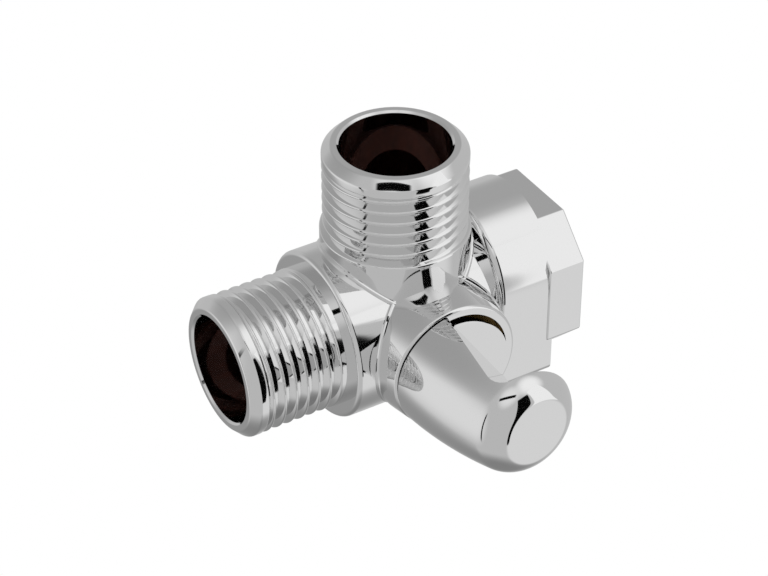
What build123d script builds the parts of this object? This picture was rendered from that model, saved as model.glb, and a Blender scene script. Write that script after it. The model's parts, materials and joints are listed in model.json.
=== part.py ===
from build123d import *
import os
from math import cos, pi, radians, sin, tan

# Shower diverter valve. Water enters at the threaded inlet on +X and leaves by the side outlet on -X
# or the top outlet on +Z. A spring-loaded seal on a rotor closes one outlet at a time, and the
# handle on -Y turns the rotor. All sizes are in millimetres.
# The pieces are drawn about the valve centre, where the three axes cross. They are exported with
# the origin on the inlet axis, where the inlet's thread begins.

# Clearances, and how far a cutting tool runs past what it cuts
running = 0.08
seated = 0.05
past = 1.0

# Pipe thread, half inch parallel
thread_crest_r = 10.48
thread_depth = 1.16
thread_root_r = thread_crest_r - thread_depth

# Body
barrel_r = 12.65
barrel_left = 13.5
barrel_right = 5.0
barrel_edge = 0.7
neck_r = 10.8
side_reach = 29.2
side_neck_r = 10.55
side_thread_length = 13.3
top_reach = 28.6
top_neck_r = 10.9
top_thread_length = 13.0
outlet_chamfer = 1.4
outlet_bore_r = 8.0
outlet_bore_depth = 13.0
port_r = 4.6
chamber_r = 8.6
chamber_back = 8.6
boss_root_r = 10.5
boss_r = 9.9
boss_end = 16.5
boss_edge = 0.5
drill_half_angle = 60

# Inlet: the arched block and the octagon for the wrench, with the bore that takes the pipe
block_front = 10.7
block_back = 20.1
block_half = 11.6
block_crown = 2.65
block_corner = 1.5
block_edge = 1.0
octagon_half = 11.86
octagon_chamfer = 5.69
inlet_end = 25.05
inlet_mouth_chamfer = 0.8
inlet_bore_r = 5.4
washer_seat = 13.2
washer_thickness = 1.8
washer_bore_r = 6.2
screen_thickness = 0.4
screen_hole_r = 0.6
screen_hole_rings = 3
screen_hole_pitch = 1.7
screen_holes_round_first = 6
thread_relief = 0.48
thread_relief_past_screen = 0.2
screen_from = washer_seat + washer_thickness + 2 * seated
relief_end = screen_from + screen_thickness + thread_relief_past_screen

# The exported origin lies where the inlet thread begins, inside the countersunk mouth
inlet_plane = inlet_end - inlet_mouth_chamfer

# Rotor, with the seal that it carries
rotor_disc = 2.0
rotor_front = 7.2
rotor_boss_r = 7.2
seal_r = 5.3
seal_lip = 1.1
seal_thickness = 2.9
spring_pocket_floor = 2.4
spring_coil_r = 3.0
spring_wire_r = 0.35
spring_wire_sides = 8
spring_turns = 3
key_width = 3.0
key_length = 8.0
key_depth = 1.5

# Stem, its seals and the bonnet
stem_flange_r = 6.5
stem_flange = 1.5
stem_r = 4.0
stem_end = 15.2
tail_r = 2.3
tail_past_grub = 0.5
tail_flat = 0.7
o_ring_r = 0.62
o_ring_seat = 0.01
stem_groove_depth = 1.25
stem_groove_width = 1.5
stem_groove_first = 10.9
stem_groove_step = 2.4
thrust_washer = 0.6
bonnet_end = 14.8
bonnet_slot_width = 2.0
bonnet_slot_depth = 1.2
bonnet_groove_from = 10.4
bonnet_groove_width = 1.7
bonnet_groove_depth = 1.25
bonnet_ring_r = 0.63

# Handle: a blunt bullet that leans over its finger flat
handle_gap = 0.4
handle_r = 9.75
handle_lean = 5.0
handle_side = 15.1
handle_shoulder_r = 8.1
handle_tip = 3.5
handle_end_r = 5.0
handle_base_edge = 0.8
handle_hub_r = 8.0
handle_hub_length = 1.4
flat_offset_base = 4.1
flat_offset_tip = 1.7
flat_fillet = 2.4
flat_angle = 34.3
grub_r = 1.5
grub_inset = 3.2
grub_length = 5.0
grub_socket_r = 0.8
grub_socket_depth = 1.8
handle_base = boss_end + handle_gap
handle_shoulder = handle_base + handle_side
handle_end = handle_shoulder + handle_tip
grub_from = handle_base + grub_inset
tail_end = grub_from + grub_r + tail_past_grub


def rod_x(radius, start, end):
    return Rot(0, 90, 0) * Pos(0, 0, start) * extrude(Circle(radius), end - start)


def rod_z(radius, start, end):
    return Pos(0, 0, start) * extrude(Circle(radius), end - start)


def rod_stem(radius, start, end):
    """A rod about the stem axis. Positions run outward from the centre, towards -Y."""
    return Rot(90, 0, 0) * rod_z(radius, start, end)


def torus_stem(centre_r, section_r, position):
    return Rot(90, 0, 0) * Pos(0, 0, position) * Torus(centre_r, section_r)


def outlet_spout(neck_r, reach, thread_length):
    """A male outlet along +Z: the neck and the blank of the threaded end with its chamfered nose."""
    thread_start = reach - thread_length
    outline = Polyline(
        (0, 0),
        (neck_r, 0),
        (neck_r, thread_start - thread_depth),
        (thread_crest_r, thread_start),
        (thread_crest_r, reach - outlet_chamfer),
        (thread_crest_r - outlet_chamfer, reach),
        (0, reach),
        close=True,
    )
    return revolve(Plane.XZ * make_face(outline), Axis.Z)


def outlet_passage(reach):
    """The way out of the chamber: the port, a drill cone and the wide bore of the spout."""
    bore_start = reach - outlet_bore_depth
    cone_start = bore_start - (outlet_bore_r - port_r) / tan(radians(drill_half_angle))
    outline = Polyline(
        (0, 0),
        (port_r, 0),
        (port_r, cone_start),
        (outlet_bore_r, bore_start),
        (outlet_bore_r, reach + past),
        (0, reach + past),
        close=True,
    )
    return revolve(Plane.XZ * make_face(outline), Axis.Z)


def boss_blank():
    """The round boss on -Y that the handle turns against, a little narrower at its end."""
    flank = [(boss_root_r, 0), (boss_root_r, barrel_r), (boss_r, boss_end)]
    outline = Polyline((0, 0), *flank, (0, boss_end), close=True)
    boss = revolve(Plane.XZ * make_face(outline), Axis.Z)
    boss = fillet(boss.edges().group_by(Axis.Z)[-1], boss_edge)
    return Rot(90, 0, 0) * boss


def inlet_block():
    """The arched block behind the barrel, round on top and flat below, with a soft front edge."""
    height = block_crown + octagon_half
    flank = Pos(0, block_crown - height / 2) * Rectangle(2 * block_half, height)
    lower_corners = flank.vertices().group_by(Axis.Y)[0]
    section = fillet(lower_corners, block_corner) + Pos(0, block_crown) * Circle(block_half)
    block = Pos(block_front, 0, 0) * extrude(Plane.YZ * section, block_back - block_front)
    return fillet(block.edges().group_by(Axis.X)[0], block_edge)


def inlet_octagon():
    square = Rectangle(2 * octagon_half, 2 * octagon_half)
    section = chamfer(square.vertices(), octagon_chamfer)
    return Pos(block_back, 0, 0) * extrude(Plane.YZ * section, inlet_end - block_back)


def inlet_bore():
    """The passage, the seat of the washer, the relief behind the thread and the thread's blank."""
    bore = rod_x(inlet_bore_r, 0, washer_seat + past)
    bore += rod_x(thread_root_r + thread_relief, washer_seat, relief_end)
    bore += rod_x(thread_root_r, relief_end - past, inlet_end + past)
    mouth = Cone(thread_root_r, thread_root_r + inlet_mouth_chamfer, inlet_mouth_chamfer)
    return bore + Rot(0, 90, 0) * Pos(0, 0, inlet_end - inlet_mouth_chamfer / 2) * mouth


def make_valve_body():
    barrel = rod_x(barrel_r, -barrel_left, barrel_right)
    barrel = fillet(barrel.edges().filter_by(GeomType.CIRCLE), barrel_edge)
    top = outlet_spout(top_neck_r, top_reach, top_thread_length)
    side = Rot(0, -90, 0) * outlet_spout(side_neck_r, side_reach, side_thread_length)
    body = barrel + rod_x(neck_r, 0, block_front + past) + boss_blank() + top + side
    body += inlet_block() + inlet_octagon()
    body -= rod_stem(chamber_r, -chamber_back, boss_end + past)
    body -= outlet_passage(top_reach)
    body -= Rot(0, -90, 0) * outlet_passage(side_reach)
    return body - inlet_bore()


def make_inlet_washer():
    start = washer_seat + seated
    washer = rod_x(thread_root_r - running, start, start + washer_thickness)
    return washer - rod_x(washer_bore_r, start - past, start + washer_thickness + past)


def make_inlet_screen():
    """The pressed strainer disc, with its rings of six-sided holes, that lies against the washer."""
    hole = RegularPolygon(screen_hole_r, 6)
    disc = Circle(thread_root_r - running) - hole
    for row in range(1, screen_hole_rings + 1):
        disc -= PolarLocations(row * screen_hole_pitch, screen_holes_round_first * row) * hole
    return Pos(screen_from, 0, 0) * extrude(Plane.YZ * disc, screen_thickness)


def make_rotor():
    """Two discs joined by the boss that holds the seal and its spring."""
    rotor_r = chamber_r - running
    back = chamber_back - running
    rotor = rod_stem(rotor_r, -back, -back + rotor_disc)
    rotor += rod_stem(rotor_r, rotor_front - rotor_disc, rotor_front)
    pillar = rod_x(rotor_boss_r, -rotor_r, 0) & rod_stem(rotor_r, -back, rotor_front)
    rotor += pillar
    rotor -= rod_x(seal_r, -rotor_r - past, -spring_pocket_floor)
    slot_depth = key_depth + seated
    slot = Box(key_length + 2 * seated, 2 * slot_depth, key_width + 2 * seated)
    rotor -= Pos(0, -rotor_front, 0) * slot
    return rotor


def make_port_seal():
    """The rubber cup whose face fits the round wall of the chamber."""
    face = chamber_r - running
    cup = rod_x(seal_r - seated, -face, -face + seal_thickness)
    cup &= rod_stem(face, -seal_r, seal_r)
    return cup - rod_x(seal_r - seated - seal_lip, -face + seal_thickness / 2, 0)


def make_seal_spring():
    floor = spring_pocket_floor + seated + spring_wire_r
    seat = chamber_r - running - seal_thickness / 2 - seated - spring_wire_r
    height = seat - floor
    path = Helix(pitch=height / spring_turns, height=height, radius=spring_coil_r)
    wire = sweep(Plane(path @ 0, z_dir=path % 0) * RegularPolygon(spring_wire_r, spring_wire_sides), path)
    return Rot(0, -90, 0) * Pos(0, 0, floor) * wire


def make_stem():
    flange_from = rotor_front + seated
    stem = rod_stem(stem_flange_r, flange_from, flange_from + stem_flange)
    stem += rod_stem(stem_r, flange_from, stem_end)
    stem += rod_stem(tail_r, flange_from, tail_end)
    stem += Pos(0, -flange_from + key_depth / 2, 0) * Box(key_length, key_depth, key_width)
    for i in range(2):
        middle = stem_groove_first + i * stem_groove_step
        start = middle - stem_groove_width / 2
        groove = rod_stem(stem_r + past, start, start + stem_groove_width)
        stem -= groove - rod_stem(stem_r - stem_groove_depth, start - past, start + stem_groove_width + past)
    flat = Pos(0, -(stem_end + tail_end) / 2, -tail_r) * Box(2 * tail_r, tail_end - stem_end, 2 * tail_flat)
    return stem - Rot(0, -grub_turn(), 0) * flat


def grub_turn():
    """The turn about the stem from straight down to the grub screw, square to the finger flat."""
    return flat_angle


def make_stem_o_ring(index):
    centre_r = stem_r - stem_groove_depth + o_ring_r + o_ring_seat
    return torus_stem(centre_r, o_ring_r, stem_groove_first + index * stem_groove_step)


def washer_start():
    return rotor_front + stem_flange + 2 * seated


def make_thrust_washer():
    start = washer_start()
    washer = rod_stem(chamber_r - running, start, start + thrust_washer)
    return washer - rod_stem(stem_r + running, start - past, start + thrust_washer + past)


def make_bonnet():
    start = washer_start() + thrust_washer + seated
    bonnet = rod_stem(chamber_r - seated, start, bonnet_end)
    bonnet -= rod_stem(stem_r + running, start - past, bonnet_end + past)
    groove_end = bonnet_groove_from + bonnet_groove_width
    groove = rod_stem(chamber_r + past, bonnet_groove_from, groove_end)
    groove_floor_r = chamber_r - seated - bonnet_groove_depth
    groove -= rod_stem(groove_floor_r, bonnet_groove_from - past, groove_end + past)
    bonnet -= groove
    slot_y = -(bonnet_end - bonnet_slot_depth / 2)
    return bonnet - Pos(0, slot_y, 0) * Box(3 * chamber_r, bonnet_slot_depth, bonnet_slot_width)


def make_bonnet_o_ring():
    centre_r = chamber_r - seated - bonnet_groove_depth + bonnet_ring_r + o_ring_seat
    return torus_stem(centre_r, bonnet_ring_r, bonnet_groove_from + bonnet_groove_width / 2)


def handle_blank():
    """The turned form: a slow curve in, then a round shoulder to the flat end."""
    base = (handle_r, handle_base)
    shoulder = (handle_shoulder_r, handle_shoulder)
    end = (handle_end_r, handle_end)
    side = TangentArc(base, shoulder, tangent=(0, 1))
    tip = TangentArc(shoulder, end, tangent=side % 1)
    start = handle_base - handle_r
    rest = Polyline(end, (0, handle_end), (0, start), (handle_r, start), base)
    blank = revolve(Plane.XZ * make_face([side, tip, rest]), Axis.Z)
    leaning = Pos(0, 0, handle_base) * Rot(0, handle_lean, 0) * Pos(0, 0, -handle_base) * blank
    return split(leaning, Plane.XY.offset(handle_base), keep=Keep.TOP)


def finger_flat():
    """What is cut away beside the handle for the finger, up to the round tip."""
    reach = handle_r * 2
    start = handle_base - past
    cut = Polyline(
        (flat_offset_base, start),
        (flat_offset_tip, handle_shoulder),
        (reach, handle_shoulder),
        (reach, start),
        close=True,
    )
    profile = make_face(cut)
    corner = profile.vertices().sort_by_distance((flat_offset_tip, handle_shoulder))[0]
    profile = fillet(corner, flat_fillet)
    return extrude(Plane.XZ * profile, reach, both=True)


def make_handle():
    handle = handle_blank()
    handle = fillet(handle.edges().group_by(Axis.Z)[0], handle_base_edge)
    handle -= finger_flat()
    hub_from = handle_base - handle_hub_length
    handle += rod_z(handle_hub_r, hub_from, handle_base + handle_base_edge)
    handle -= rod_z(tail_r + seated, hub_from - past, tail_end + seated)
    handle = Rot(90, 0, 0) * handle
    handle -= Pos(0, -grub_from, -handle_r) * rod_z(grub_r + seated, 0, handle_r)
    return Rot(0, -flat_angle, 0) * handle


def make_grub_screw():
    """The socket grub screw that presses on the flat of the stem's tail."""
    top = -(tail_r - tail_flat) - seated
    screw = rod_z(grub_r, top - grub_length, top)
    socket = extrude(RegularPolygon(grub_socket_r, 6), grub_socket_depth)
    screw -= Pos(0, 0, top - grub_length) * socket
    return Rot(0, -grub_turn(), 0) * Pos(0, -grub_from, 0) * screw


nodes = {
    "valve_body": make_valve_body(),
    "inlet_washer": make_inlet_washer(),
    "inlet_screen": make_inlet_screen(),
    "rotor": make_rotor(),
    "port_seal": make_port_seal(),
    "seal_spring": make_seal_spring(),
    "stem": make_stem(),
    "stem_o_ring_inner": make_stem_o_ring(0),
    "stem_o_ring_outer": make_stem_o_ring(1),
    "thrust_washer": make_thrust_washer(),
    "bonnet": make_bonnet(),
    "bonnet_o_ring": make_bonnet_o_ring(),
    "handle": make_handle(),
    "handle_grub_screw": make_grub_screw(),
}

os.makedirs("parts", exist_ok=True)
for name, shape in nodes.items():
    export_step(Pos(-inlet_plane, 0, 0) * shape, f"parts/{name}.step")
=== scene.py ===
import bmesh
import bpy
import json
from math import acos, atan2, cos, hypot, pi, radians, sin, sqrt, tan
from mathutils import Matrix, Vector


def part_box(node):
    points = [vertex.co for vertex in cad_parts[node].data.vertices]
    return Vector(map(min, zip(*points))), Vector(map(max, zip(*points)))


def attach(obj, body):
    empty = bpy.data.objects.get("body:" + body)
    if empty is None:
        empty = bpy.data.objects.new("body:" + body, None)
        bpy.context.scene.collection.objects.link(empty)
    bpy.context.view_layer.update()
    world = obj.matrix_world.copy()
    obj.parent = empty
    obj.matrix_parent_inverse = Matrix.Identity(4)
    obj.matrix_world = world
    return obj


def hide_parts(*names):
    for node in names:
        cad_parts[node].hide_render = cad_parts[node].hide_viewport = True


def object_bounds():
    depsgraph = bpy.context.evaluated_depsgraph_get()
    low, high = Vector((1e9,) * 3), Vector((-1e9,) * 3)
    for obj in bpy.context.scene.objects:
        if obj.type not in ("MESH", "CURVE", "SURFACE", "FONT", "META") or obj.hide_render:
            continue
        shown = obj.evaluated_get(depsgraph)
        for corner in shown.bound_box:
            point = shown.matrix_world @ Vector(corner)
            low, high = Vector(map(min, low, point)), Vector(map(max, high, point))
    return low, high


# Chromed shower diverter valve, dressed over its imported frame. The body casting and the handle are
# rebuilt here as smooth mirror surfaces with cut threads, and the pieces inside keep their solids.
# Pieces are modelled in millimetres about the valve centre, where the three axes cross, and are
# brought to metres at the end of their making.

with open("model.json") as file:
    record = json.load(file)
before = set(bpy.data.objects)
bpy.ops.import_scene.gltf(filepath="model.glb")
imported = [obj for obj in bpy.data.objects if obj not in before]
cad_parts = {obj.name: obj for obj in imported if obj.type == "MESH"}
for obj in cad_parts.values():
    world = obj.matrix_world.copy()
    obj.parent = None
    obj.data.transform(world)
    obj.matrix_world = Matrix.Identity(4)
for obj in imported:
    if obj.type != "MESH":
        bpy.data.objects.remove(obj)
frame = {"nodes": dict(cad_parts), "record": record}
box_of_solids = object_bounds()

MM = 0.001
centre = Vector(frame["record"]["behaviour"]["joints"][0]["pos_m"])
body_low, body_high = [Vector(corner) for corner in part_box("valve_body")]
hub_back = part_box("handle")[1].y

# Reaches that the frame gives, in millimetres from the valve centre
side_reach = (centre.x - body_low.x) / MM
inlet_end = (body_high.x - centre.x) / MM
top_reach = (body_high.z - centre.z) / MM
boss_end = (centre.y - body_low.y) / MM
block_bottom = (body_low.z - centre.z) / MM
hub_start = (centre.y - hub_back) / MM

# How finely round things are cut
SEGMENTS = 192
ROUND_STEPS = 6
SIDE_STEPS = 40
TIP_STEPS = 24
OCTAGON_EDGE_STEPS = 3

# How far a cutting tool runs past what it cuts, the gaps that are welded or merged, and the turns
# between faces up to which they count as even, and beyond which they count as a crease
PAST = 1.0
WELD = 0.0005
MERGE = 0.001
EVEN = radians(0.05)
CREASE = radians(28)

# A piece drawn along Z stays upright, or is turned onto the axis of the stem, side outlet or inlet
UPRIGHT = Matrix.Identity(4)
ABOUT_STEM = Matrix.Rotation(pi / 2, 4, "X")
ABOUT_SIDE = Matrix.Rotation(-pi / 2, 4, "Y")
ABOUT_INLET = Matrix.Rotation(pi / 2, 4, "Y")

# Half-inch parallel pipe thread. The ridge ends a little below the lip, and its foot is sunk in the
# root. The crests that the photo shows best lie at the last two distances from the centre
thread_crest_r = 10.48
thread_depth = 1.16
thread_root_r = thread_crest_r - thread_depth
thread_pitch = 1.814
thread_half_angle = radians(27.5)
thread_crest_round = 0.24
thread_crest_flat = 0.3
thread_sunk = 0.02
thread_foot = 0.1
thread_run_out = 0.6
thread_run_out_round = 0.3
thread_start_round = 0.15
thread_end_round = 0.1
top_crest_at = 25.5
side_crest_at = 25.9

# Body
barrel_r = 12.65
barrel_left = 13.5
barrel_right = 5.0
barrel_edge = 0.7
neck_r = 10.8
side_neck_r = 10.55
side_thread_from = 15.7
top_neck_r = 10.9
top_thread_from = 15.3
lip_length = 2.5
lip_chamfer = 1.3
lip_round = 0.5
lip_back_round = 0.25
outlet_bore_r = 8.0
outlet_bore_depth = 13.0
outlet_mouth = 0.3
drill_half_angle = radians(60)
port_r = 4.6
chamber_r = 8.6
chamber_back = 8.6
boss_root_r = 10.5
boss_r = 9.9
boss_edge = 0.5
bead_r = 0.4
bead_smoothness = 4

# How deep the plating reaches into the outlets and the boss, and how near a bore's wall counts as in it
plated_mouth = 0.6
plated_boss = 3.0
bore_skin = 0.2

# Inlet block, octagon and bore
block_front = 10.7
block_back = 20.1
block_half = 11.6
block_crown = 2.65
block_corner = 1.5
block_edge = 1.0
octagon_half = 11.86
octagon_chamfer = 5.69
octagon_edge = 0.25
inlet_bore_r = 5.4
inlet_mouth = 0.8
washer_seat = 13.2
relief_end = 15.7
relief_r = 9.8

# Handle: a bullet of two arcs with a softened end, cut flat on one side, on a hub with the stem's hole
handle_base = 16.9
handle_r = 9.75
handle_lean = radians(5)
handle_shoulder = 32.0
handle_shoulder_r = 8.1
handle_tip = 3.5
handle_end_r = 5.0
handle_end_drop = 0.15
handle_end_run = 0.85
hub_r = 8.0
hub_overlap = 0.8
tail_hole_r = 2.35
tail_hole_end = 22.15
flat_base = 4.1
flat_tip = 1.7
flat_fillet = 2.4
flat_angle = radians(34.3)
grub_hole_r = 1.55
grub_from = 20.1

# Camera, as worked out from the photo's thread circles
camera_azimuth = radians(31.04)
camera_elevation = radians(37.0)
camera_distance = 365.6
camera_lens = 117.2
camera_sensor = 36.0
photo_width = 768
photo_height = 576
centre_px = (395.02, 305.5)

# Floor, in millimetres below the valve and in metres from its middle to its edge
floor_gap = 0.5
floor_reach = 3.0

# Light tent that the chrome reflects. Each soft patch has its compass angle (0 is +Y, 90 is +X) and
# height, the angles from its middle at which it is full and gone, and its grey
tent_grey = "#C6C6C6"
tent_patches = [
    (31, 37, 12, 40, "#AEAEAE"),
    (125, 55, 6, 32, "#FFFFFF"),
    (149, -37, 8, 30, "#E4E4E4"),
    (290, -5, 4, 44, "#EAEAEA"),
    (329, 40, 8, 40, "#A6A6A6"),
    (345, -52, 6, 36, "#9A9A9A"),
    (0, -90, 10, 40, "#8A8A8A"),
    (211, 60, 6, 30, "#EDEDED"),
]

# Cards in the tent: name, compass angle, height, width and height in degrees, grey, distance in metres
# and the soft part of its edges
cards = [
    ("white_right", 139, 14, 30, 78, "#FFFFFF", 0.5, 0.06),
    ("black_right", 169, 3, 24, 96, "#060606", 0.5, 0.04),
    ("black_above", 215, 56, 44, 7, "#060606", 0.5, 0.1),
    ("black_left", 262, -5, 5, 70, "#181818", 0.48, 0.2),
]


def colour(code):
    """An sRGB hex value as the linear colour that a shader takes."""
    values = [int(code[i:i + 2], 16) / 255 for i in (1, 3, 5)]
    linear = [v / 12.92 if v <= 0.04045 else ((v + 0.055) / 1.055) ** 2.4 for v in values]
    return (*linear, 1.0)


def rounded(corners):
    """An outline from corners given as (x, y) or (x, y, radius), with an arc at each radius."""
    points = []
    for i, corner in enumerate(corners):
        here = Vector(corner[:2])
        if len(corner) == 2:
            points.append(here)
            continue
        before = (Vector(corners[i - 1][:2]) - here).normalized()
        after = (Vector(corners[i + 1][:2]) - here).normalized()
        half = acos(max(-1.0, min(1.0, before.dot(after)))) / 2
        middle = here + (before + after).normalized() * corner[2] / sin(half)
        first = here + before * corner[2] / tan(half) - middle
        last = here + after * corner[2] / tan(half) - middle
        turn = atan2(first.x * last.y - first.y * last.x, first.dot(last))
        for step in range(ROUND_STEPS + 1):
            part = turn * step / ROUND_STEPS
            points.append(middle + Matrix.Rotation(part, 2) @ first)
    return points


def arc_to(start, end, direction, steps):
    """Points after start along the arc that leaves it in the given direction, and its last direction."""
    chord = end - start
    lean = atan2(direction.x * chord.y - direction.y * chord.x, direction.dot(chord))
    points = []
    for step in range(1, steps + 1):
        part = step / steps
        heading = Matrix.Rotation(-lean * (1 - part), 2) @ chord
        points.append(start + heading * sin(lean * part) / sin(lean))
    return points, Matrix.Rotation(2 * lean, 2) @ direction


def outline_edges(bm, points, closed=False):
    """Vertices at (r, 0, z) joined in a row."""
    verts = [bm.verts.new((p[0], 0, p[1])) for p in points]
    edges = [bm.edges.new(pair) for pair in zip(verts, verts[1:])]
    if closed:
        edges.append(bm.edges.new((verts[-1], verts[0])))
    return verts + edges


def close_up(bm):
    """Welds a mesh, fills what is open and turns its faces outward."""
    bmesh.ops.remove_doubles(bm, verts=bm.verts, dist=WELD)
    open_edges = [edge for edge in bm.edges if edge.is_boundary]
    if open_edges:
        bmesh.ops.holes_fill(bm, edges=open_edges, sides=0)
    bmesh.ops.recalc_face_normals(bm, faces=bm.faces)


def as_object(bm, name, turn=UPRIGHT):
    """Turns a mesh into place and makes an object of it."""
    bmesh.ops.transform(bm, matrix=turn, verts=bm.verts)
    mesh = bpy.data.meshes.new(name)
    bm.to_mesh(mesh)
    bm.free()
    piece = bpy.data.objects.new(name, mesh)
    bpy.context.scene.collection.objects.link(piece)
    return piece


def turned(name, corners, turn=UPRIGHT):
    """A turned solid about the Z axis from an outline that starts and ends on it."""
    bm = bmesh.new()
    geometry = outline_edges(bm, rounded(corners))
    bmesh.ops.spin(bm, geom=geometry, cent=(0, 0, 0), axis=(0, 0, 1), dvec=(0, 0, 0), angle=2 * pi,
                   steps=SEGMENTS, use_merge=True)
    close_up(bm)
    return as_object(bm, name, turn)


def rod(name, radius, start, end, turn=UPRIGHT):
    """A plain cylinder from one place on the Z axis to another."""
    return turned(name, [(0, start), (radius, start), (radius, end), (0, end)], turn)


def thread_ridge(name, start, end, phase, turn=UPRIGHT):
    """The helical ridge of the pipe thread, round at its crest and sunk a little in the root."""
    crest = thread_crest_r - thread_sunk
    root = thread_root_r - thread_foot
    half_root = (crest - root) * tan(thread_half_angle) + thread_crest_round / 2
    flat = thread_crest_flat / 2
    section = rounded([(root, -half_root), (crest, -flat, thread_crest_round),
                       (crest, flat, thread_crest_round), (root, half_root)])
    bm = bmesh.new()
    geometry = outline_edges(bm, section, closed=True)
    turns = (end - start) / thread_pitch
    bmesh.ops.spin(bm, geom=geometry, cent=(0, 0, 0), axis=(0, 0, 1),
                   dvec=(0, 0, thread_pitch / SEGMENTS), angle=2 * pi * turns,
                   steps=round(SEGMENTS * turns))
    close_up(bm)
    place = Matrix.Translation((0, 0, start)) @ Matrix.Rotation(phase, 4, "Z")
    return as_object(bm, name, turn @ place)


def combine(base, tools, operation):
    """Joins tools to the base or cuts them away, and removes them."""
    for tool in tools:
        step = base.modifiers.new("combine", "BOOLEAN")
        step.operation = operation
        step.solver = "MANIFOLD"
        step.object = tool
    graph = bpy.context.evaluated_depsgraph_get()
    mesh = bpy.data.meshes.new_from_object(base.evaluated_get(graph))
    base.modifiers.clear()
    base.data = mesh
    assert len(mesh.polygons) > len(tools), base.name + " was lost when its parts were combined"
    for tool in tools:
        bpy.data.objects.remove(tool, do_unlink=True)
    return base


def spout(name, reach, neck, thread_from, turn):
    """A threaded outlet: the neck, the root of the thread and the plain lip at the end."""
    lip_from = reach - lip_length
    nose = thread_crest_r - lip_chamfer
    return turned(name, [
        (0, 0),
        (neck, 0),
        (neck, thread_from - thread_run_out, thread_run_out_round),
        (thread_root_r, thread_from, thread_start_round),
        (thread_root_r, lip_from - thread_run_out, thread_end_round),
        (thread_crest_r, lip_from, lip_back_round),
        (thread_crest_r, reach - lip_chamfer, lip_round),
        (nose, reach, lip_round),
        (0, reach),
    ], turn)


def passage(name, reach, turn):
    """The bore of an outlet, its drill cone and the port into the chamber."""
    bore_from = reach - outlet_bore_depth
    cone_from = bore_from - (outlet_bore_r - port_r) / tan(drill_half_angle)
    return turned(name, [
        (0, 0),
        (port_r, 0),
        (port_r, cone_from),
        (outlet_bore_r, bore_from),
        (outlet_bore_r, reach - outlet_mouth),
        (outlet_bore_r + outlet_mouth, reach),
        (outlet_bore_r + outlet_mouth, reach + PAST),
        (0, reach + PAST),
    ], turn)


def drawn_out(corners, shift):
    """A closed mesh from a flat outline that is drawn out along a vector."""
    bm = bmesh.new()
    face = bm.faces.new([bm.verts.new(corner) for corner in corners])
    grown = bmesh.ops.extrude_face_region(bm, geom=[face], use_keep_orig=True)
    moved = [item for item in grown["geom"] if isinstance(item, bmesh.types.BMVert)]
    bmesh.ops.translate(bm, verts=moved, vec=shift)
    bmesh.ops.recalc_face_normals(bm, faces=bm.faces)
    return bm


def round_off(bm, edges, size, steps):
    """Rounds the edges, as polishing leaves them."""
    bmesh.ops.bevel(bm, geom=edges, offset=size, offset_type="OFFSET", segments=steps, profile=0.5,
                    affect="EDGES", material=-1)


def arched_block():
    """The block behind the octagon, with its front edge rounded and its back edge left sharp."""
    section = [(block_front, p[0], p[1]) for p in arch_section()]
    bm = drawn_out(section, (block_back - block_front, 0, 0))
    rim = [edge for edge in bm.edges if all(abs(v.co.x - block_front) < WELD for v in edge.verts)]
    round_off(bm, rim, block_edge, ROUND_STEPS)
    return as_object(bm, "block")


def arch_section():
    """The block's outline: flat below with small corners, straight flanks and a round crown."""
    crown = [(block_half * cos(a), block_crown + block_half * sin(a))
             for a in [pi * i / SEGMENTS for i in range(SEGMENTS + 1)]]
    low = [(-block_half, 0), (-block_half, block_bottom, block_corner),
           (block_half, block_bottom, block_corner), (block_half, 0)]
    return crown + rounded(low)[1:-1]


def octagon_section():
    """The octagon's outline, a square with its corners cut off."""
    short = octagon_half - octagon_chamfer
    quarter = [(octagon_half, short), (short, octagon_half)]
    return [(Matrix.Rotation(pi / 2 * k, 2) @ Vector(p)) for k in range(4) for p in quarter]


def octagon():
    """The octagon for the wrench, run a little into the block, with soft edges."""
    section = [(block_back - PAST, p[0], p[1]) for p in octagon_section()]
    bm = drawn_out(section, (inlet_end - block_back + PAST, 0, 0))
    round_off(bm, bm.edges, octagon_edge, OCTAGON_EDGE_STEPS)
    return as_object(bm, "octagon")


def inlet_tools():
    """What the inlet's bore cuts away: passage, washer seat, relief, thread and countersunk mouth."""
    bore = turned("inlet_bore", [
        (0, 0),
        (inlet_bore_r, 0),
        (inlet_bore_r, washer_seat),
        (relief_r, washer_seat),
        (relief_r, relief_end),
        (thread_root_r, relief_end),
        (thread_root_r, inlet_end - inlet_mouth),
        (thread_root_r + inlet_mouth + PAST, inlet_end + PAST),
        (0, inlet_end + PAST),
    ], ABOUT_INLET)
    groove = thread_ridge("inlet_groove", relief_end - thread_pitch / 4, inlet_end + PAST / 2, 0, ABOUT_INLET)
    return [bore, groove]


def bead(name, points):
    """The fine raised line that the casting and its polish leave along a junction."""
    line = bpy.data.curves.new(name, "CURVE")
    line.dimensions = "3D"
    line.bevel_depth = bead_r
    line.bevel_resolution = bead_smoothness
    run = line.splines.new("POLY")
    run.points.add(len(points) - 1)
    for point, place in zip(run.points, points):
        point.co = (*place, 1)
    run.use_cyclic_u = True
    shape = bpy.data.objects.new(name, line)
    bpy.context.scene.collection.objects.link(shape)
    graph = bpy.context.evaluated_depsgraph_get()
    mesh = bpy.data.meshes.new_from_object(shape.evaluated_get(graph))
    bpy.data.objects.remove(shape, do_unlink=True)
    bm = bmesh.new()
    bm.from_mesh(mesh)
    close_up(bm)
    return as_object(bm, name)


def junction_beads():
    """Beads where the top neck and the boss meet the barrel."""
    turns = [2 * pi * i / SEGMENTS for i in range(SEGMENTS)]
    top = [(top_neck_r * cos(a), top_neck_r * sin(a), sqrt(barrel_r ** 2 - (top_neck_r * sin(a)) ** 2))
           for a in turns]
    boss = [(boss_root_r * cos(a), -sqrt(barrel_r ** 2 - (boss_root_r * sin(a)) ** 2), boss_root_r * sin(a))
            for a in turns]
    return [bead("top_bead", top), bead("boss_bead", boss)]


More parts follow.
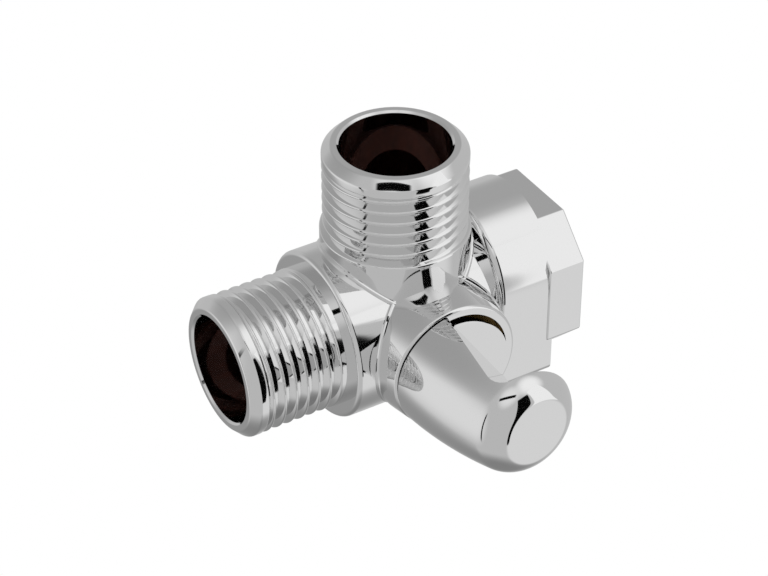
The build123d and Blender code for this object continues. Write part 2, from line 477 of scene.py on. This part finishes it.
def shade_smooth(piece):
    """Smooth shading, with edges kept sharp where the surface turns by more than a crease."""
    bm = bmesh.new()
    bm.from_mesh(piece.data)
    bmesh.ops.remove_doubles(bm, verts=bm.verts, dist=MERGE)
    bmesh.ops.dissolve_degenerate(bm, edges=bm.edges, dist=MERGE)
    bmesh.ops.dissolve_limit(bm, angle_limit=EVEN, use_dissolve_boundaries=False, verts=bm.verts,
                             edges=bm.edges, delimit=set())
    for face in bm.faces:
        face.smooth = True
    for edge in bm.edges:
        edge.smooth = edge.is_manifold and edge.calc_face_angle(pi) < CREASE
    bm.to_mesh(piece.data)
    bm.free()
    even = piece.modifiers.new("even_normals", "WEIGHTED_NORMAL")
    even.keep_sharp = True


def finish_piece(piece, name, body, solid):
    """Brings a finished piece to metres in the frame, hangs it on its body and hides the solid that it stands
    in for.
    """
    piece.name = name
    piece.data.transform(Matrix.Translation(centre) @ Matrix.Scale(MM, 4))
    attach(piece, body)
    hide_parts(solid)


def make_body():
    """The casting with its cut threads, and the bores and the chamber cut out of it."""
    camera_side = atan2(-cos(camera_azimuth), -sin(camera_azimuth))
    barrel = turned("barrel", [(0, -barrel_left), (barrel_r, -barrel_left, barrel_edge),
                               (barrel_r, barrel_right, barrel_edge), (0, barrel_right)], ABOUT_INLET)
    boss = turned("boss", [(0, 0), (boss_root_r, 0), (boss_root_r, barrel_r), (boss_r, boss_end, boss_edge),
                           (0, boss_end)], ABOUT_STEM)
    neck = rod("neck", neck_r, 0, block_front + PAST, ABOUT_INLET)
    top = spout("top", top_reach, top_neck_r, top_thread_from, UPRIGHT)
    side = spout("side", side_reach, side_neck_r, side_thread_from, ABOUT_SIDE)
    top_start = top_thread_from - thread_run_out
    top_end = top_reach - lip_length + thread_run_out
    top_phase = camera_side - 2 * pi * (top_crest_at - top_start) / thread_pitch
    top_thread = thread_ridge("top_thread", top_start, top_end, top_phase)
    side_start = side_thread_from - thread_run_out
    side_end = side_reach - lip_length + thread_run_out
    side_phase = -pi / 2 - 2 * pi * (side_crest_at - side_start) / thread_pitch
    side_thread = thread_ridge("side_thread", side_start, side_end, side_phase, ABOUT_SIDE)
    outside = [neck, boss, top, side, arched_block(), octagon(), top_thread, side_thread]
    outside += junction_beads()
    body = combine(barrel, outside, "UNION")
    chamber = rod("chamber", chamber_r, -chamber_back, boss_end + PAST, ABOUT_STEM)
    outlets = [passage("top_passage", top_reach, UPRIGHT),
               passage("side_passage", side_reach, ABOUT_SIDE)]
    return combine(body, [chamber] + outlets + inlet_tools(), "DIFFERENCE")


def make_handle():
    """The turned bullet, leaning over its finger flat, on the hub that fills the mouth of the boss."""
    base = Vector((handle_r, 0))
    shoulder = Vector((handle_shoulder_r, handle_shoulder - handle_base))
    length = handle_shoulder + handle_tip - handle_base
    end = Vector((handle_end_r + handle_end_run / 2, length - handle_end_drop))
    face_edge = Vector((end.x - handle_end_run, length))
    side, direction = arc_to(base, shoulder, Vector((0, 1)), SIDE_STEPS)
    tip, direction = arc_to(shoulder, end, direction, TIP_STEPS)
    rim = arc_to(end, face_edge, direction, ROUND_STEPS)[0]
    outline = [(0, -handle_r), (handle_r, -handle_r), tuple(base)]
    outline += [tuple(p) for p in side + tip + rim] + [(0, length)]
    lean = Matrix.Translation((0, 0, handle_base)) @ Matrix.Rotation(handle_lean, 4, "Y")
    blank = turned("blank", outline, lean)
    reach = 2 * handle_r
    below = rod("below", reach, handle_base - reach, handle_base)
    flat = rounded([(flat_base, handle_base - PAST), (flat_tip, handle_shoulder, flat_fillet),
                    (reach, handle_shoulder), (reach, handle_base - PAST)])
    finger = as_object(drawn_out([(p[0], -reach, p[1]) for p in flat], (0, 2 * reach, 0)), "finger")
    handle = combine(blank, [below, finger], "DIFFERENCE")
    hub = rod("hub", hub_r, hub_start, handle_base + hub_overlap)
    handle = combine(handle, [hub], "UNION")
    tail_hole = rod("tail_hole", tail_hole_r, hub_start - PAST, tail_hole_end)
    handle = combine(handle, [tail_hole], "DIFFERENCE")
    grub_hole = rod("grub_hole", grub_hole_r, 0, reach, Matrix.Translation((0, 0, grub_from)) @ ABOUT_STEM)
    handle = combine(handle, [grub_hole], "DIFFERENCE")
    handle.data.transform(Matrix.Rotation(-flat_angle, 4, "Y") @ ABOUT_STEM)
    return handle


def node(tree, kind, settings={}, links={}):
    """Adds a shader node. Settings are its properties, or inputs by name or number, and links bring
    the outputs of other nodes to its inputs."""
    new = tree.nodes.new("ShaderNode" + kind)
    for key, value in settings.items():
        if isinstance(key, int) or key in new.inputs:
            new.inputs[key].default_value = value
        else:
            setattr(new, key, value)
    for key, output in links.items():
        tree.links.new(output, new.inputs[key])
    return new


def empty_tree(owner):
    """The node tree of a material or a world, with nothing in it."""
    owner.use_nodes = True
    owner.node_tree.nodes.clear()
    return owner.node_tree


def material(name, settings):
    """A new material with one Principled shader, and the tree, shader and place that patterns use."""
    made = bpy.data.materials.new(name)
    tree = empty_tree(made)
    shader = node(tree, "BsdfPrincipled", settings)
    node(tree, "OutputMaterial", {}, {"Surface": shader.outputs["BSDF"]})
    place = node(tree, "TexCoord").outputs["Object"]
    return made, tree, shader, place


def per_mm(size):
    """The texture scale at which one feature is the given size in millimetres."""
    return 1 / (size * MM)


def chrome_plate():
    """Chrome plate on polished cast brass. The eye gets a mirror, with reflections that waver a little
    where the polishing wheel left faint waves, and a thin haze on the wiped places."""
    made, tree, shader, place = material("chrome_plate", {"Metallic": 1.0, "Base Color": colour("#E8E8E8")})
    waves = node(tree, "TexNoise", {"Scale": per_mm(4.0), "Detail": 1.0}, {"Vector": place}).outputs[0]
    haze = node(tree, "TexNoise", {"Scale": per_mm(6.0), "Detail": 3.0}, {"Vector": place}).outputs[0]
    rough = node(tree, "MapRange", {"To Min": 0.02, "To Max": 0.06}, {"Value": haze})
    bump = node(tree, "Bump", {"Strength": 1.0, "Distance": 0.004 * MM}, {"Height": waves})
    tree.links.new(rough.outputs["Result"], shader.inputs["Roughness"])
    tree.links.new(bump.outputs[0], shader.inputs["Normal"])
    return made


def bore_brass():
    """Brass inside a bore, drilled and left unplated. The eye gets a dark red-brown, stained in patches,
    with the fine marks of the drill."""
    made, tree, shader, place = material("bore_brass", {"Metallic": 0.75})
    stain = node(tree, "TexNoise", {"Scale": per_mm(3.0), "Detail": 4.0}, {"Vector": place}).outputs[0]
    marks = node(tree, "TexNoise", {"Scale": per_mm(0.4), "Detail": 2.0}, {"Vector": place}).outputs[0]
    tint = node(tree, "Mix", {"data_type": "RGBA", 6: colour("#1E0D08"), 7: colour("#421B10")},
                {"Factor": stain})
    rough = node(tree, "MapRange", {"To Min": 0.35, "To Max": 0.5}, {"Value": stain})
    bump = node(tree, "Bump", {"Strength": 1.0, "Distance": 0.02 * MM}, {"Height": marks})
    tree.links.new(tint.outputs[2], shader.inputs["Base Color"])
    tree.links.new(rough.outputs["Result"], shader.inputs["Roughness"])
    tree.links.new(bump.outputs[0], shader.inputs["Normal"])
    return made


def grained(name, metallic, dark, light, smooth, rough, grain_mm, detail):
    """A material with one fine grain, which gives its two tones, its roughness and its bump."""
    made, tree, shader, place = material(name, {"Metallic": metallic})
    scale = {"Scale": per_mm(grain_mm), "Detail": detail}
    grain = node(tree, "TexNoise", scale, {"Vector": place}).outputs[0]
    tint = node(tree, "Mix", {"data_type": "RGBA", 6: colour(dark), 7: colour(light)}, {"Factor": grain})
    roughness = node(tree, "MapRange", {"To Min": smooth, "To Max": rough}, {"Value": grain})
    bump = node(tree, "Bump", {"Strength": 1.0, "Distance": 0.01 * MM}, {"Height": grain})
    tree.links.new(tint.outputs[2], shader.inputs["Base Color"])
    tree.links.new(roughness.outputs["Result"], shader.inputs["Roughness"])
    tree.links.new(bump.outputs[0], shader.inputs["Normal"])
    return made


def dress_solids():
    """Gives each solid that stays a finish, after what the real piece is made of."""
    finishes = {
        # Turned brass, tarnished in the wet: a dull brown gleam deep in the valve
        "raw_brass": grained("turned_brass", 1.0, "#4A371C", "#645029", 0.35, 0.48, 0.5, 3.0),
        # Pressed stainless sheet: a soft grey sheen round the strainer's holes
        "stainless": grained("stainless_steel", 1.0, "#8F9194", "#B9BBBE", 0.23, 0.36, 0.4, 3.0),
        # Moulded nitrile rubber: matt black with the grain of its mould
        "rubber": grained("nitrile_rubber", 0.0, "#101010", "#1E1E1E", 0.52, 0.68, 0.3, 4.0),
        # PTFE skived from a block: waxy white with a faint mottle
        "ptfe": grained("ptfe_sheet", 0.0, "#D6D4CC", "#EAE8E0", 0.37, 0.53, 0.4, 4.0),
    }
    for part in frame["record"]["subparts"]:
        if part["material_slot"] in finishes:
            solid = frame["nodes"][part["node"]]
            solid.data.materials.clear()
            solid.data.materials.append(finishes[part["material_slot"]])


def plate_outside(piece, inside):
    """Chrome on the outside, and bare brass where the inside test says that a face lies in a bore."""
    piece.data.materials.clear()
    piece.data.materials.append(chrome)
    piece.data.materials.append(bare)
    corners = [inside(corner.co) for corner in piece.data.vertices]
    for face in piece.data.polygons:
        face.material_index = 1 if all(corners[i] for i in face.vertices) else 0


def in_a_bore(point):
    """True for a point in millimetres on the wall of a bore or in the chamber, below its plated mouth."""
    from_z, from_x, from_y = hypot(point.x, point.y), hypot(point.y, point.z), hypot(point.x, point.z)
    outlet_r, inlet_r, hollow_r = [r + bore_skin for r in (outlet_bore_r, thread_crest_r, chamber_r)]
    in_top = from_z < outlet_r and 0 < point.z < top_reach - plated_mouth
    in_side = from_x < outlet_r and plated_mouth - side_reach < point.x < 0
    in_inlet = from_x < inlet_r and block_front < point.x < inlet_end - inlet_mouth
    in_chamber = from_y < hollow_r and plated_boss - boss_end < point.y < chamber_back + bore_skin
    return in_top or in_side or in_inlet or in_chamber


def toward(azimuth, elevation):
    """The unit direction of a compass angle and a height in degrees: 0 is +Y and 90 is +X."""
    ground = Vector((sin(radians(azimuth)), cos(radians(azimuth)), 0)) * cos(radians(elevation))
    return ground + Vector((0, 0, sin(radians(elevation))))


def card(name, azimuth, elevation, width, height, grey, distance, soft):
    """A studio card that only reflections see, facing the valve, whose edges fade over the soft part."""
    direction = toward(azimuth, elevation)
    bm = bmesh.new()
    bmesh.ops.create_grid(bm, x_segments=1, y_segments=1, size=0.5)
    span = [2 * distance * sin(radians(angle / 2)) for angle in (width, height)]
    turn = direction.to_track_quat("Z", "Y").to_matrix().to_4x4()
    place = Matrix.Translation(centre + direction * distance) @ turn @ Matrix.Diagonal((*span, 1, 1))
    piece = as_object(bm, name, place)
    across = piece.data.uv_layers.new(name="across")
    for corner, place_on_card in zip(across.data, ((0, 0), (1, 0), (1, 1), (0, 1))):
        corner.uv = place_on_card
    paint = bpy.data.materials.new(name)
    tree = empty_tree(paint)
    where = node(tree, "SeparateXYZ", {}, {"Vector": node(tree, "TexCoord").outputs["UV"]})
    fades = []
    for axis in ("X", "Y"):
        inward = node(tree, "Math", {"operation": "PINGPONG", 1: 0.5}, {0: where.outputs[axis]})
        fade = node(tree, "MapRange", {"interpolation_type": "SMOOTHSTEP", "From Max": soft},
                    {"Value": inward.outputs[0]})
        fades.append(fade.outputs["Result"])
    cover = node(tree, "Math", {"operation": "MULTIPLY"}, {0: fades[0], 1: fades[1]})
    clear = node(tree, "BsdfTransparent")
    glow = node(tree, "Emission", {"Color": colour(grey), "Strength": 1.0})
    mix = node(tree, "MixShader", {}, {0: cover.outputs[0], 1: clear.outputs[0], 2: glow.outputs[0]})
    node(tree, "OutputMaterial", {}, {"Surface": mix.outputs[0]})
    piece.data.materials.append(paint)
    for ray in ("camera", "diffuse", "shadow", "transmission"):
        setattr(piece, "visible_" + ray, False)


def tent_light(tree):
    """The colour of the light tent by direction: soft round patches laid over an even grey."""
    place = node(tree, "TexCoord").outputs["Generated"]
    shade = node(tree, "RGB").outputs[0]
    shade.default_value = colour(tent_grey)
    for azimuth, elevation, inner, outer, grey in tent_patches:
        facing = node(tree, "VectorMath", {"operation": "DOT_PRODUCT", 1: toward(azimuth, elevation)},
                      {0: place})
        cover = node(tree, "MapRange", {"interpolation_type": "SMOOTHSTEP", "From Min": cos(radians(outer)),
                                        "From Max": cos(radians(inner))}, {"Value": facing.outputs["Value"]})
        layer = node(tree, "Mix", {"data_type": "RGBA", 7: colour(grey)},
                     {"Factor": cover.outputs["Result"], 6: shade})
        shade = layer.outputs[2]
    return shade


def make_stage():
    """A white floor and a white surround for the camera, and the grey light tent that chrome reflects."""
    bm = bmesh.new()
    bmesh.ops.create_grid(bm, x_segments=1, y_segments=1, size=floor_reach)
    floor = as_object(bm, "floor", Matrix.Translation((0, 0, box_of_solids[0].z - floor_gap * MM)))
    # White acrylic lit from below: it shows no shadow, as in the photo
    lit_acrylic = material("lit_acrylic", {
        "Base Color": colour("#000000"), "Specular IOR Level": 0.0,
        "Emission Color": colour("#FFFFFF"), "Emission Strength": 1.0})[0]
    floor.data.materials.append(lit_acrylic)
    floor.visible_glossy = False
    world = bpy.data.worlds.new("studio")
    bpy.context.scene.world = world
    tree = empty_tree(world)
    seen = node(tree, "LightPath")
    white = node(tree, "Background", {"Color": colour("#FFFFFF"), "Strength": 1.0})
    tent = node(tree, "Background", {"Strength": 1.0}, {"Color": tent_light(tree)})
    mix = node(tree, "MixShader", {}, {0: seen.outputs["Is Glossy Ray"], 1: white.outputs[0],
                                       2: tent.outputs[0]})
    node(tree, "OutputWorld", {}, {"Surface": mix.outputs[0]})
    bpy.context.scene.view_settings.view_transform = "Standard"
    for settings in cards:
        card(*settings)


def make_camera():
    """The photo's camera: the valve centre falls on its place in the picture."""
    back = Vector((-sin(camera_azimuth) * cos(camera_elevation), -cos(camera_azimuth) * cos(camera_elevation),
                   sin(camera_elevation)))
    right = Vector((cos(camera_azimuth), -sin(camera_azimuth), 0))
    up = back.cross(right)
    data = bpy.data.cameras.new("camera")
    data.sensor_width = camera_sensor
    data.lens = camera_lens
    data.clip_start = 0.01
    data.clip_end = 20
    focal_px = camera_lens / camera_sensor * photo_width
    across = (centre_px[0] - photo_width / 2) / focal_px * camera_distance
    down = (centre_px[1] - photo_height / 2) / focal_px * camera_distance
    away = back * camera_distance - right * across + up * down
    camera = bpy.data.objects.new("camera", data)
    bpy.context.scene.collection.objects.link(camera)
    turn = Matrix((right, up, back)).transposed().to_4x4()
    camera.matrix_world = Matrix.Translation(centre + away * MM) @ turn
    bpy.context.scene.camera = camera


chrome = chrome_plate()
bare = bore_brass()
dress_solids()

body = make_body()
shade_smooth(body)
plate_outside(body, in_a_bore)
finish_piece(body, "chromed_body", "body", "valve_body")

handle = make_handle()
shade_smooth(handle)
plate_outside(handle, lambda point: False)
finish_piece(handle, "chromed_handle", "spindle", "handle")

make_stage()
make_camera()
